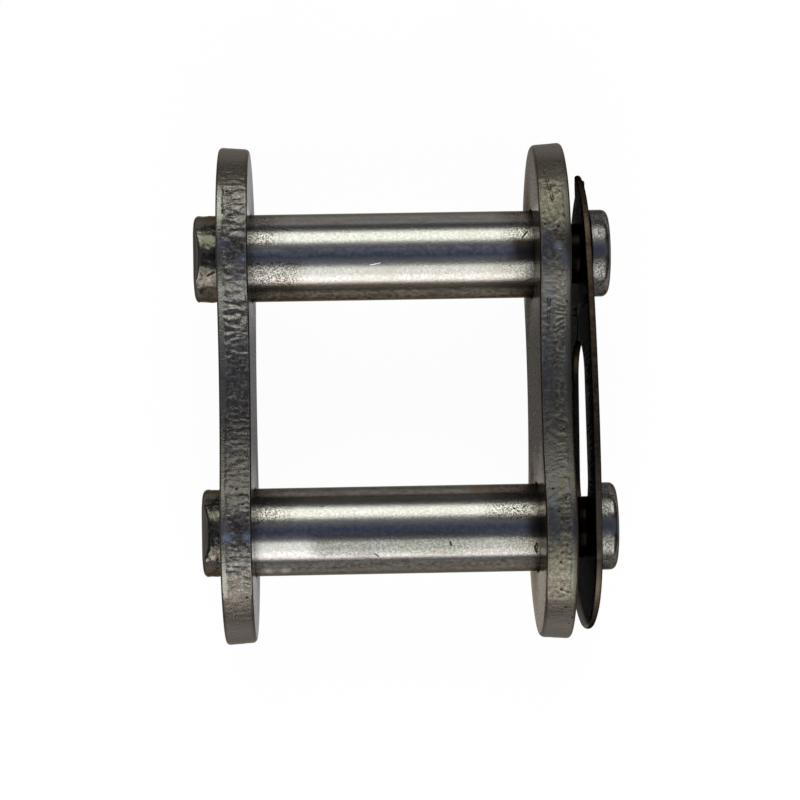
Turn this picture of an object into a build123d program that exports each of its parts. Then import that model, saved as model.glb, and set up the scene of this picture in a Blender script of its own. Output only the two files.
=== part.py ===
from build123d import *
import math
import os

# Connecting link of a one inch pitch roller chain, in millimetres.
# X runs along the pins, from the fixed plate towards the spring clip.
# Y runs from the lower pin to the upper pin, along the chain.
# Z is up: the link lies on the long edges of its two plates.
# The origin is half way between the pins and half way between the plates.

# Chain
pitch = 25.4
plate_gap = 26.0

# Side plates: a lobe round each pin, drawn in to a waist between them.
# Blanking leaves the outer face wider than the inner one, by a taper in degrees.
plate_thickness = 2.8
lobe_radius = 10.35
waist_half_width = 8.0
blanking_taper = 4.0
plate_edge_break = 0.4

# Pins
pin_radius = 4.05
slip_clearance = 0.05
upper_head_length = 2.45
lower_head_length = 2.0
head_round = 0.5
groove_radius = 2.8
groove_setback = 0.1
groove_width = 2.3
upper_collar_length = 1.87
lower_collar_length = 2.03
collar_chamfer = 0.4

# Flats that staking leaves on the front and back of each head
stake_depth = 1.2
upper_stake_length = 1.0
lower_stake_length = 0.8

# Spring clip: a sheet that stands tilted in the pin grooves, with its back prong
# lifted outwards again. Tilt and lift are in degrees.
clip_thickness = 0.6
clip_standoff = 1.35
clip_tilt = 2.9
prong_lift = 1.7
prong_lift_setback = 9.0
clip_seat_clearance = 0.05
closed_end_radius = 8.17
closed_end_setback = 1.3
flank_half_width = 8.05
collar_half_width = 5.98
shoulder_reach = 3.93
shoulder_half_width = 4.37
tip_reach = 7.65
slot_foot_setback = 4.7
slot_foot_clearance = 0.07
slot_head_setback = 13.7
slot_head_radius = 3.6
slit_half_width = 0.35
throat_half_width = 0.45
mouth_half_width = 0.75
nose_round = 0.4

# Places that follow from the sizes above
pin_offset = pitch / 2
plate_outer_face = plate_gap / 2 + plate_thickness
groove_start = plate_outer_face + groove_setback
groove_end = groove_start + groove_width
clip_inner_face = plate_outer_face + clip_standoff
clip_foot = -pin_offset - closed_end_setback - closed_end_radius
clip_tip = pin_offset + tip_reach

# How far a cutting tool runs past what it cuts
overrun = 1.0


def plate_outline():
    """Outline of a side plate on the YZ plane: four arcs that run into each other."""
    lobe_spread = pin_offset**2 + waist_half_width**2 - lobe_radius**2
    waist_radius = lobe_spread / (2 * (lobe_radius - waist_half_width))
    lobe_share = lobe_radius / (lobe_radius + waist_radius)
    join_y = pin_offset * (1 - lobe_share)
    join_z = (waist_half_width + waist_radius) * lobe_share
    end_y = pin_offset + lobe_radius
    arcs = [
        ThreePointArc((join_y, -join_z), (end_y, 0), (join_y, join_z)),
        ThreePointArc((join_y, join_z), (0, waist_half_width), (-join_y, join_z)),
        ThreePointArc((-join_y, join_z), (-end_y, 0), (-join_y, -join_z)),
        ThreePointArc((-join_y, -join_z), (0, -waist_half_width), (join_y, -join_z)),
    ]
    return make_face(arcs)


def side_plate(hole_radius):
    """Blanked plate with its wide face on X = 0 and its narrow face towards +X."""
    blank = extrude(Plane.YZ * plate_outline(), amount=plate_thickness, taper=blanking_taper)
    faces = blank.faces().sort_by(Axis.X)
    plate = chamfer(faces[0].edges() + faces[-1].edges(), plate_edge_break)
    for place in (-pin_offset, pin_offset):
        hole = Plane.YZ * Pos(place, 0) * Circle(hole_radius)
        plate -= extrude(hole, amount=plate_thickness)
    return plate


def stake_flat(head_end, stake_length):
    """Wedge that takes the flat off the front of a head that ends at X = head_end."""
    slope = stake_depth / stake_length
    wedge_top = pin_radius + slope * overrun
    wedge = Polygon(
        (head_end - overrun, pin_radius - stake_depth - slope * overrun),
        (head_end + stake_length + overrun, wedge_top),
        (head_end - overrun, wedge_top),
        align=None,
    )
    return extrude(Plane.XZ * wedge, amount=pin_radius, both=True)


def pin(head_length, stake_length, collar_length):
    """Pin on the X axis: staked head, plain length, clip groove and end collar."""
    head_end = -plate_outer_face - head_length
    collar_end = groove_end + collar_length
    profile = Polyline(
        (head_end, 0),
        (head_end, pin_radius),
        (groove_start, pin_radius),
        (groove_start, groove_radius),
        (groove_end, groove_radius),
        (groove_end, pin_radius),
        (collar_end, pin_radius),
        (collar_end, 0),
        close=True,
    )
    turned = revolve(make_face(profile), Axis.X)
    rims = turned.edges().filter_by(GeomType.CIRCLE).sort_by(Axis.X)
    turned = fillet(rims[0], head_round)
    rims = turned.edges().filter_by(GeomType.CIRCLE).sort_by(Axis.X)
    turned = chamfer(rims[-1], collar_chamfer)
    front_flat = stake_flat(head_end, stake_length)
    return turned - front_flat - mirror(front_flat, about=Plane.XY)


def clip_rim():
    """Outer outline of the clip on the YZ plane, closed end down and prongs up."""
    end_y = clip_foot + closed_end_radius
    shoulder_y = pin_offset + shoulder_reach
    closed_end = ThreePointArc((end_y, closed_end_radius), (clip_foot, 0), (end_y, -closed_end_radius))
    back_flank = ThreePointArc(
        (end_y, -closed_end_radius),
        (0, -flank_half_width),
        (pin_offset, -collar_half_width),
    )
    back_prong = ThreePointArc(
        (pin_offset, -collar_half_width),
        (shoulder_y, -shoulder_half_width),
        (clip_tip, 0),
    )
    back = [back_flank, back_prong]
    front = [mirror(arc, about=Plane.XZ) for arc in back]
    return make_face([closed_end] + back + front)


def clip_opening():
    """Keyhole slot, slit, groove hole and mouth of the clip on the YZ plane."""
    groove_hole = Circle(groove_radius + clip_seat_clearance)
    foot = Pos(slot_foot_setback - pin_offset, 0) * Circle(pin_radius + slot_foot_clearance)
    head = Pos(slot_head_setback - pin_offset, 0) * Circle(slot_head_radius)
    slot = make_hull(foot.edges() + head.edges())
    slit = Polygon(
        (0, -slit_half_width),
        (pin_offset, -slit_half_width),
        (pin_offset, slit_half_width),
        (0, slit_half_width),
        align=None,
    )
    mouth = Polygon(
        (pin_offset, -throat_half_width),
        (clip_tip, -mouth_half_width),
        (clip_tip, mouth_half_width),
        (pin_offset, throat_half_width),
        align=None,
    )
    seats = Pos(-pin_offset, 0) * groove_hole + Pos(pin_offset, 0) * groove_hole
    return seats + slot + slit + mouth


def spring_clip():
    """Clip punched along X out of a tilted sheet whose back prong is lifted outwards."""
    half_width = closed_end_radius + overrun
    foot_y = clip_foot - overrun
    lift_y = pin_offset - prong_lift_setback
    tip_y = clip_tip + overrun
    lift_x = (tip_y - lift_y) * math.tan(math.radians(prong_lift))
    front_sheet = Polygon(
        (0, foot_y),
        (clip_thickness, foot_y),
        (clip_thickness, tip_y),
        (0, tip_y),
        align=None,
    )
    back_sheet = Polygon(
        (0, foot_y),
        (clip_thickness, foot_y),
        (clip_thickness, lift_y),
        (clip_thickness + lift_x, tip_y),
        (lift_x, tip_y),
        (0, lift_y),
        align=None,
    )
    sheet = extrude(front_sheet, amount=half_width) + extrude(back_sheet, amount=-half_width)
    sheet = Pos(clip_inner_face, 0, 0) * Rot(0, clip_tilt, 0) * sheet
    blank = clip_rim() - clip_opening()
    noses = blank.vertices().sort_by(Axis.X)[-2:]
    blank = fillet(noses, nose_round)
    punch = extrude(Plane.YZ * blank, amount=groove_end + overrun)
    return sheet & punch


parts = {
    "fixed_plate": Pos(-plate_outer_face, 0, 0) * side_plate(pin_radius),
    "connecting_plate": Pos(plate_outer_face, 0, 0) * Rot(0, 180, 0) * side_plate(pin_radius + slip_clearance),
    "upper_pin": Pos(0, pin_offset, 0) * pin(upper_head_length, upper_stake_length, upper_collar_length),
    "lower_pin": Pos(0, -pin_offset, 0) * pin(lower_head_length, lower_stake_length, lower_collar_length),
    "spring_clip": spring_clip(),
}

os.makedirs("parts", exist_ok=True)
for name, part in parts.items():
    part.label = name
    export_step(part, f"parts/{name}.step")
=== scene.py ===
import math

import bmesh
import bpy
from mathutils import Matrix, Vector, noise


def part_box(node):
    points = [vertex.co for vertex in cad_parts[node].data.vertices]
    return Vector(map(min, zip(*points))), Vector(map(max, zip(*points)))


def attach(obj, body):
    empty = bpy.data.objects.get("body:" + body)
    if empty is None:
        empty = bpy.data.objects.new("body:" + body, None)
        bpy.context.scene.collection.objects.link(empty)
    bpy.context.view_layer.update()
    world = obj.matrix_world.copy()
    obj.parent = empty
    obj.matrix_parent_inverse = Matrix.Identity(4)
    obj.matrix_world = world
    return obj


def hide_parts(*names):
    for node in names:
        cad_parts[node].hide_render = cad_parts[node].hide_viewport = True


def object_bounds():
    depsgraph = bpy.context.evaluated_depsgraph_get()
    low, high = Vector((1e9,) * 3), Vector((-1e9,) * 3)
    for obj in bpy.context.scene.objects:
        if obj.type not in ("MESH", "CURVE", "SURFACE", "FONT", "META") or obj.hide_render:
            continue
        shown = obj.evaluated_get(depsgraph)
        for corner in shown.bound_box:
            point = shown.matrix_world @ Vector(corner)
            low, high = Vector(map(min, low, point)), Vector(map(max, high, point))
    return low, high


# Dressed model of the chain connecting link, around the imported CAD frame.
# Sizes are in millimetres up to add_piece(), which turns them into metres.
# X runs along the pins towards the spring clip, Y along the chain, and Z is up.
MM = 0.001

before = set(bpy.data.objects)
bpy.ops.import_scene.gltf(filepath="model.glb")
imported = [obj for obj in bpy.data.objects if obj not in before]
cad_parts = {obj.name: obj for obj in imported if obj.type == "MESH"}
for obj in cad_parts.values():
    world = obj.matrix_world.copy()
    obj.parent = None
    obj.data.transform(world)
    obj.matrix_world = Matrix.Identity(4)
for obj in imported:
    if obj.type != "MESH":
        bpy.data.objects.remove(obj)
cad_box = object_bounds()


# ---------------------------------------------------------------- camera

CAMERA_PLACE = (-4.7885, -13.0866, 214.2604)
CAMERA_PITCH = -0.057781
CAMERA_YAW = 0.024845
CAMERA_ROLL = 0.018915
FOCAL_PIXELS = 2315.065
PHOTO_PIXELS = 800
SENSOR_WIDTH = 36.0


def add_camera():
    """Camera that looks down at the link as the photograph does."""
    data = bpy.data.cameras.new("camera")
    data.sensor_width = SENSOR_WIDTH
    data.lens = FOCAL_PIXELS * SENSOR_WIDTH / PHOTO_PIXELS
    data.clip_start = 0.01
    data.clip_end = 20.0
    camera = bpy.data.objects.new("camera", data)
    roll = Matrix.Rotation(CAMERA_ROLL, 4, "Z")
    pitch = Matrix.Rotation(CAMERA_PITCH, 4, "X")
    yaw = Matrix.Rotation(CAMERA_YAW, 4, "Y")
    place = Matrix.Translation(Vector(CAMERA_PLACE) * MM)
    camera.matrix_world = place @ (roll @ pitch @ yaw).transposed()
    bpy.context.scene.collection.objects.link(camera)
    bpy.context.scene.camera = camera


add_camera()


# ---------------------------------------------------------------- sizes, from the frame

def low_high(node_name):
    """Lowest and highest corner of a CAD node, in millimetres."""
    low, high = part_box(node_name)
    return low / MM, high / MM


fixed_low, fixed_high = low_high("fixed_plate")
link_high = low_high("connecting_plate")[1]
upper_low, upper_high = low_high("upper_pin")
lower_low, lower_high = low_high("lower_pin")
clip_low, clip_high = low_high("spring_clip")

PIN_RADIUS = (upper_high.z - upper_low.z) / 2
PIN_OFFSET = upper_high.y - PIN_RADIUS
PLATE_THICKNESS = fixed_high.x - fixed_low.x
LOBE_RADIUS = fixed_high.y - PIN_OFFSET
WAIST_HALF_WIDTH = 8.0
TAPER = math.tan(math.radians(4.0))
SLIP_CLEARANCE = 0.05


# ---------------------------------------------------------------- mesh helpers

def add_piece(bm, node_name, body, materials):
    """Turns a mesh in millimetres into the dressed piece that stands for a CAD node."""
    bmesh.ops.scale(bm, vec=(MM, MM, MM), verts=bm.verts)
    bmesh.ops.recalc_face_normals(bm, faces=bm.faces)
    for face in bm.faces:
        face.smooth = True
    name = node_name + "_dressed"
    mesh = bpy.data.meshes.new(name)
    bm.to_mesh(mesh)
    bm.free()
    for material in materials:
        mesh.materials.append(material)
    piece = bpy.data.objects.new(name, mesh)
    bpy.context.scene.collection.objects.link(piece)
    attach(piece, body)
    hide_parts(node_name)


def bridge(bm, ring_a, ring_b):
    """Quads between two closed rings of as many vertices."""
    for a, next_a, b, next_b in zip(ring_a, ring_a[1:] + ring_a[:1], ring_b, ring_b[1:] + ring_b[:1]):
        bm.faces.new((a, next_a, next_b, b))


def fill(bm, rings):
    """Flat fill between an outer ring and the holes in it."""
    edges = []
    for ring in rings:
        for pair in zip(ring, ring[1:] + ring[:1]):
            edges.append(bm.edges.get(pair) or bm.edges.new(pair))
    bmesh.ops.triangle_fill(bm, use_beauty=True, edges=edges)


def circle_ring(bm, x, y, radius, count=128):
    """Closed ring of vertices about an axis along X."""
    ring = []
    for i in range(count):
        angle = 2 * math.pi * i / count
        ring.append(bm.verts.new((x, y + radius * math.cos(angle), radius * math.sin(angle))))
    return ring


def smooth_step(low, high, value):
    """0 below low, 1 above high, and an even rise between."""
    share = min(1.0, max(0.0, (value - low) / (high - low)))
    return share * share * (3 - 2 * share)


def soft_noise(x, y, seed):
    """Smooth noise from -1 to 1 over a surface."""
    return noise.noise(Vector((x, y, seed)))


# ---------------------------------------------------------------- side plates

RIM_STEP = 0.09
EDGE_STEP = 0.09
CORNER_RADIUS = 0.2
TIP_CORNER_RADIUS = 0.4
TIP_ROUNDING = (17.5, 21.5)
CORNER_STEPS = 5
FACE_MARGIN = 0.6
HOLE_EDGE = 0.2
EDGE_MATERIAL = 1

# Blanked edge: a smooth strip by the wide face, then torn metal up to a thin lip.
# Depths are in millimetres and shares are of the plate's thickness.
SKIN = 0.02
STEP_DEPTH = 0.045
SCALE_LENGTH = 0.5
SCALE_WIDTH = 1.05
SCALE_DEPTH = 0.13
SCALE_SOFTNESS = 8.0
RIDGE_PITCH = 0.47
RIDGE_DEPTH = 0.022
GRAIN_DEPTH = 0.02
LIP_START = 0.955
CRACK_WIDTH = 0.1
CRACK_DEPTH = 0.09

# noise.noise_vector() takes its offsets from this seed.
NOISE_SEED = 3
noise.seed_set(NOISE_SEED)


def arc_points(centre, radius, start, stop):
    """Points and outward directions along an arc, without its last. A hollow arc's radius is negative."""
    count = max(2, round(abs(stop - start) * abs(radius) / RIM_STEP))
    found = []
    for i in range(count):
        angle = start + (stop - start) * i / count
        away = Vector((math.cos(angle), math.sin(angle)))
        found.append((Vector(centre) + away * abs(radius), away * math.copysign(1, radius)))
    return found


def plate_rim():
    """Points and outward directions along a plate's outline, both on the YZ plane."""
    waist_radius = PIN_OFFSET**2 + WAIST_HALF_WIDTH**2 - LOBE_RADIUS**2
    waist_radius /= 2 * (LOBE_RADIUS - WAIST_HALF_WIDTH)
    waist_z = WAIST_HALF_WIDTH + waist_radius
    drop = math.atan2(waist_z, PIN_OFFSET)
    lobe = math.pi - drop
    waist = math.pi / 2 - drop
    top = math.pi / 2
    rim = arc_points((PIN_OFFSET, 0), LOBE_RADIUS, -lobe, lobe)
    rim += arc_points((0, waist_z), -waist_radius, -top + waist, -top - waist)
    rim += arc_points((-PIN_OFFSET, 0), LOBE_RADIUS, math.pi - lobe, math.pi + lobe)
    rim += arc_points((0, -waist_z), -waist_radius, top + waist, top - waist)
    return rim


def edge_profile(y):
    """(depth from the wide face, inset, outward share) of the points across a plate's edge."""
    corner = CORNER_RADIUS + (TIP_CORNER_RADIUS - CORNER_RADIUS) * smooth_step(*TIP_ROUNDING, abs(y))
    rounded = []
    for i in range(CORNER_STEPS + 1):
        angle = math.pi / 2 * i / CORNER_STEPS
        rounded.append((corner * (1 - math.cos(angle)), corner * (1 - math.sin(angle)), math.sin(angle)))
    profile = [(depth, inset + depth * TAPER, out) for depth, inset, out in rounded]
    straight = PLATE_THICKNESS - 2 * corner
    count = round((PLATE_THICKNESS - 2 * CORNER_RADIUS) / EDGE_STEP)
    for i in range(1, count):
        depth = corner + straight * i / count
        profile.append((depth, depth * TAPER, 1.0))
    for depth, inset, out in reversed(rounded):
        depth = PLATE_THICKNESS - depth
        profile.append((depth, inset + depth * TAPER, out))
    return profile


def scales(along, depth, seed):
    """Torn scales: soft facets that each lean their own way."""
    place = Vector((along / SCALE_LENGTH, depth / SCALE_WIDTH, seed))
    place += noise.noise_vector(place * 0.8) * 0.4
    distances, cells = noise.voronoi(place)
    height = 0.0
    total = 0.0
    for distance, cell in zip(distances, cells):
        weight = math.exp((distances[0] - distance) * SCALE_SOFTNESS)
        lean = noise.cell_vector(cell * 9.0) * 2 - Vector((1, 1, 1))
        offset = place - cell
        height += weight * (lean.x * offset.x + 0.7 * lean.y * offset.y + 0.25 * lean.z)
        total += weight
    return height / total


def ridges(along, depth, seed):
    """Wavy tear lines across the edge."""
    bend = soft_noise(along * 0.8, depth * 0.9, seed) * 0.9
    bend += soft_noise(along * 0.25, depth * 0.4, seed + 5) * 1.5
    phase = 2 * math.pi * (along / RIDGE_PITCH + bend)
    strength = max(0.0, 0.6 + 1.4 * soft_noise(along * 0.5, depth * 1.1, seed + 9))
    return strength * (math.sin(phase) + 0.35 * math.sin(2 * phase + 0.6))


def along_stops(y, stops):
    """Value at a place along the plate, read smoothly off (y, value) stops that run downwards."""
    if y >= stops[0][0]:
        return stops[0][1]
    for (high, a), (low, b) in zip(stops, stops[1:]):
        if y > low:
            return a + (b - a) * smooth_step(high, low, y)
    return stops[-1][1]


def crack(y, depth, marks):
    """1 in the middle of a crack and 0 away from it; a mark is a run from (y, depth) to (y, depth)."""
    here = Vector((y, depth))
    deepest = 0.0
    for start, stop in marks:
        run = Vector(stop) - Vector(start)
        share = min(1.0, max(0.0, (here - Vector(start)).dot(run) / run.length_squared))
        wander = 0.08 * soft_noise(y * 3.0, 0.0, start[0])
        apart = (here - Vector(start) - run * share).length + wander
        deepest = max(deepest, 1 - smooth_step(0.0, CRACK_WIDTH, abs(apart)))
    return deepest


def torn_edge(along, depth, place, style):
    """How deep the surface lies under the plain edge, how torn it is and how calm it is, as at the tips."""
    seed = style["seed"]
    share = depth / PLATE_THICKNESS
    start = style["burnish"] + soft_noise(along * 0.35, 0.0, seed) * 0.06
    start += soft_noise(along * 1.6, 3.0, seed) * 0.035
    stop = LIP_START + soft_noise(along * 0.9, 7.0, seed) * 0.02
    torn = smooth_step(start - 0.01, start + 0.05, share) * (1 - smooth_step(stop - 0.04, stop, share))
    tip = style["foot"] if place[0] < 0 else style["top"]
    calm = smooth_step(tip, tip + 0.5, abs(place[0]) + 0.3 * soft_noise(along * 2.0, depth, seed))
    rough = torn * (1 - 0.5 * calm)
    wander = 0.08 * soft_noise(along * 0.8, 1.0, seed)
    soft = 1 - style["inner_calm"] * smooth_step(0.5, 0.65, share + wander)
    scaly = along_stops(place[0], style["scales"])
    ridged = along_stops(place[0], style["ridges"])
    sunk = torn * STEP_DEPTH * (1 - 0.8 * calm)
    sunk += rough * soft * scaly * SCALE_DEPTH * scales(along, depth, seed)
    sunk += rough * soft * ridged * RIDGE_DEPTH * ridges(along, depth, seed + 20)
    grain = noise.fractal(Vector((along * 2.2, depth * 1.6, seed)), 1.0, 2.0, 4)
    sunk += (0.2 + 0.8 * rough) * grain * GRAIN_DEPTH
    if place[1] > 0:
        sunk += CRACK_DEPTH * crack(place[0], depth, style["cracks"])
    return max(0.0, SKIN + sunk), rough, calm


def side_plate(node_name, body, face_x, inward, hole_radius, style, materials):
    """Blanked plate whose wide face is at face_x, with its thickness running inward (+1 or -1)."""
    bm = bmesh.new()
    torn_layer = bm.verts.layers.float.new("torn")
    calm_layer = bm.verts.layers.float.new("calm")
    rim_layer = bm.verts.layers.float.new("rim")
    rim = plate_rim()
    along = 0.0
    columns = []
    insets = []
    for i, (point, away) in enumerate(rim):
        along += (point - rim[i - 1][0]).length if i else 0.0
        column = []
        profile = edge_profile(point[0])
        for depth, inset, out in profile:
            sunk, torn, calm = torn_edge(along, depth, point, style)
            spot = point - away * (inset + sunk * out**2)
            vert = bm.verts.new((face_x + inward * depth, spot[0], spot[1]))
            vert[torn_layer] = torn
            vert[calm_layer] = calm
            vert[rim_layer] = out
            column.append(vert)
        columns.append(column)
        insets.append((profile[0][1], profile[-1][1]))
    for i in range(len(columns)):
        a = columns[i]
        b = columns[(i + 1) % len(columns)]
        for j in range(len(a) - 1):
            bm.faces.new((a[j], b[j], b[j + 1], a[j + 1])).material_index = EDGE_MATERIAL
    inner_x = face_x + inward * PLATE_THICKNESS
    walls = []
    for x, into, k in ((face_x, inward, 0), (inner_x, -inward, -1)):
        outer = [column[k] for column in columns]
        walls.append(plate_face(bm, x, into, rim, [inset[k] for inset in insets], outer, hole_radius))
    for wide, narrow in zip(*walls):
        bridge(bm, wide, narrow)
    add_piece(bm, node_name, body, materials)


def plate_face(bm, x, into, rim, insets, outer, hole_radius):
    """Flat face of a plate with its two holes. Returns the rings where the holes' walls begin."""
    inner = []
    for (point, away), inset in zip(rim, insets):
        spot = point - away * (inset + FACE_MARGIN)
        inner.append(bm.verts.new((x, spot[0], spot[1])))
    bridge(bm, outer, inner)
    mouths = [circle_ring(bm, x, y, hole_radius + HOLE_EDGE) for y in (-PIN_OFFSET, PIN_OFFSET)]
    fill(bm, [inner] + mouths)
    walls = []
    for y, mouth in zip((-PIN_OFFSET, PIN_OFFSET), mouths):
        middle = circle_ring(bm, x + into * HOLE_EDGE * 0.3, y, hole_radius + HOLE_EDGE * 0.3)
        wall = circle_ring(bm, x + into * HOLE_EDGE, y, hole_radius)
        bridge(bm, mouth, middle)
        bridge(bm, middle, wall)
        walls.append(wall)
    return walls


# ---------------------------------------------------------------- pins

HEAD_ROUND = 0.5
GROOVE_RADIUS = 2.8
GROOVE_SETBACK = 0.1
GROOVE_WIDTH = 2.3
GROOVE_LIP = 0.15
COLLAR_ROUND = 0.6
ROUND_STEPS = 8
STAKE_DEPTH = 1.2
UPPER_STAKE_LENGTH = 0.55
LOWER_STAKE_LENGTH = 0.8
STAKE_ROUND = 0.25
PIN_SEGMENTS = 200
RING_STEP = 0.13
END_RINGS = (0.9, 1.8, 2.6, 3.2)
HEAD_START = (-15.7, -16.1)
HEAD_WEAR = 0.09
BARREL_WAVE = 0.0012


def stretch(start, stop, radius):
    """Profile points of a plain length of the pin, a ring step apart, without its first point."""
    count = max(1, round((stop - start) / RING_STEP))
    return [(start + (stop - start) * i / count, radius) for i in range(1, count + 1)]


def quarter_round(face_x, into, size):
    """Profile points of an end's rounded rim, from the end face to the barrel."""
    points = []
    for i in range(ROUND_STEPS + 1):
        angle = math.pi / 2 * i / ROUND_STEPS
        x = face_x + into * size * (1 - math.cos(angle))
        points.append((x, PIN_RADIUS - size * (1 - math.sin(angle))))
    return points


def groove(start, stop):
    """Profile points of the clip's groove, lip to lip."""
    lip = GROOVE_LIP
    half = [
        (0.0 - lip, PIN_RADIUS),
        (0.0 - lip * 0.3, PIN_RADIUS - lip * 0.3),
        (0.0, PIN_RADIUS - lip),
        (0.0, GROOVE_RADIUS + lip),
        (lip * 0.3, GROOVE_RADIUS + lip * 0.3),
        (lip, GROOVE_RADIUS),
    ]
    left = [(start + x, radius) for x, radius in half]
    right = [(stop - x, radius) for x, radius in reversed(half)]
    return left + right


def pin_profile(head_end, collar_end):
    """(x, radius) along a pin, from its head's end face to its collar's."""
    start = link_high.x + GROOVE_SETBACK
    stop = start + GROOVE_WIDTH
    points = [(head_end, radius) for radius in END_RINGS]
    points += quarter_round(head_end, 1, HEAD_ROUND)
    points += stretch(head_end + HEAD_ROUND, start - GROOVE_LIP - RING_STEP, PIN_RADIUS)
    points += groove(start, stop)
    points += stretch(stop + GROOVE_LIP, collar_end - COLLAR_ROUND - RING_STEP, PIN_RADIUS)
    points += quarter_round(collar_end, -1, COLLAR_ROUND)[::-1]
    points += [(collar_end, radius) for radius in reversed(END_RINGS)]
    return points


def pin_wear(x, round_the_pin, seed):
    """How deep the surface lies under the plain barrel."""
    head = smooth_step(*HEAD_START, x)
    rough = noise.fractal(Vector((x * 0.8, round_the_pin * 0.6, seed)), 1.0, 2.0, 4)
    sunk = HEAD_WEAR * head * (0.5 + rough)
    sunk += BARREL_WAVE * (1 + soft_noise(x * 0.5, round_the_pin * 0.9, seed + 7))
    return max(0.0, sunk)


def rounded_limit(value, limit):
    """The value cut off at a limit, with a rounded corner where the cut begins."""
    over = value - limit + STAKE_ROUND
    if over <= 0:
        return value
    if over >= 2 * STAKE_ROUND:
        return limit
    return value - over**2 / (4 * STAKE_ROUND)


def pin(node_name, y, low, high, stake_length, seed, material):
    """Turned pin with a staked head and a grooved end."""
    bm = bmesh.new()
    slope = STAKE_DEPTH / stake_length
    profile = pin_profile(low.x, high.x)
    rings = []
    for x, radius in profile:
        ring = []
        limit = PIN_RADIUS - STAKE_DEPTH + (x - low.x) * slope
        full = radius > PIN_RADIUS - 0.01
        for i in range(PIN_SEGMENTS):
            angle = 2 * math.pi * i / PIN_SEGMENTS
            worn = radius - (pin_wear(x, angle * PIN_RADIUS, seed) if full else 0.0)
            z = worn * math.sin(angle)
            z = math.copysign(rounded_limit(abs(z), limit), z)
            ring.append(bm.verts.new((x, y + worn * math.cos(angle), z)))
        rings.append(ring)
    for a, b in zip(rings, rings[1:]):
        bridge(bm, a, b)
    for ring in (rings[0], rings[-1]):
        centre = bm.verts.new((ring[0].co.x, y, 0))
        for i in range(PIN_SEGMENTS):
            bm.faces.new((centre, ring[i], ring[(i + 1) % PIN_SEGMENTS]))
    add_piece(bm, node_name, "pin_side", [material])


# ---------------------------------------------------------------- spring clip

CLIP_THICKNESS = 0.6
CLIP_TILT = math.radians(2.9)
PRONG_LIFT = math.tan(math.radians(1.7))
LIFT_START = 3.7
LIFT_BLEND = 1.5
CLIP_STANDOFF = 1.35
CLIP_CORNER = 0.1
WORN_CORNER = 0.26
HEEL_WEAR = (-19.5, -21.5)
NOSE_WEAR = (18.8, 20.0)
CLIP_STEP = 0.30
CORNER_ARC_STEPS = 3
STRIP_WIDTH = 0.5
CLOSED_END_RADIUS = 8.17
FLANK_HALF_WIDTH = 8.05
COLLAR_HALF_WIDTH = 5.98
SHOULDER = (16.63, 4.37)
TIP_Y = 20.2
SEAT_RADIUS = 2.85
SLOT_FOOT_Y = -8.0
SLOT_FOOT_RADIUS = 4.12
SLOT_HEAD_Y = 1.0
SLOT_HEAD_RADIUS = 3.6
SLIT_HALF_WIDTH = 0.35
THROAT_HALF_WIDTH = 0.45
MOUTH_HALF_WIDTH = 0.2
NOSE_ROUND = 0.4
BACK_NOSE_SETBACK = 0.35
CURVE_STEPS = 8


def circle_through(a, b, c):
    """Centre and radius of the circle through three points."""
    ab = Vector(b) - Vector(a)
    ac = Vector(c) - Vector(a)
    double_area = 2 * (ab.x * ac.y - ab.y * ac.x)
    x = (ac.y * ab.length_squared - ab.y * ac.length_squared) / double_area
    y = (ab.x * ac.length_squared - ac.x * ab.length_squared) / double_area
    return Vector(a) + Vector((x, y)), math.hypot(x, y)


def arc(centre, radius, start, stop):
    """Points of an arc, both ends among them."""
    count = max(2, round(abs(stop - start) * radius / CLIP_STEP))
    points = []
    for i in range(count + 1):
        angle = start + (stop - start) * i / count
        points.append((centre[0] + radius * math.cos(angle), centre[1] + radius * math.sin(angle)))
    return points


def arc_between(a, middle, b):
    """Points of the arc from a over middle to b, both ends among them."""
    centre, radius = circle_through(a, middle, b)
    start = math.atan2(a[1] - centre.y, a[0] - centre.x)
    stop = math.atan2(b[1] - centre.y, b[0] - centre.x)
    return arc(centre, radius, start, stop)


def curve(a, corner, b):
    """Points of a smooth turn from a to b that is drawn towards a corner, both ends among them."""
    points = []
    for i in range(CURVE_STEPS + 1):
        share = i / CURVE_STEPS
        spot = Vector(a).lerp(Vector(corner), share).lerp(Vector(corner).lerp(Vector(b), share), share)
        points.append((spot.x, spot.y))
    return points


def mouth_edge(y):
    """Half width of the clip's mouth at a place along it."""
    share = (y - PIN_OFFSET) / (TIP_Y - PIN_OFFSET)
    return THROAT_HALF_WIDTH + (MOUTH_HALF_WIDTH - THROAT_HALF_WIDTH) * share


def slot_meets_seat():
    """Where the slot's foot runs into the lower groove hole, along the clip."""
    apart = SLOT_FOOT_Y + PIN_OFFSET
    along = (apart**2 + SEAT_RADIUS**2 - SLOT_FOOT_RADIUS**2) / (2 * apart)
    return along - PIN_OFFSET


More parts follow.
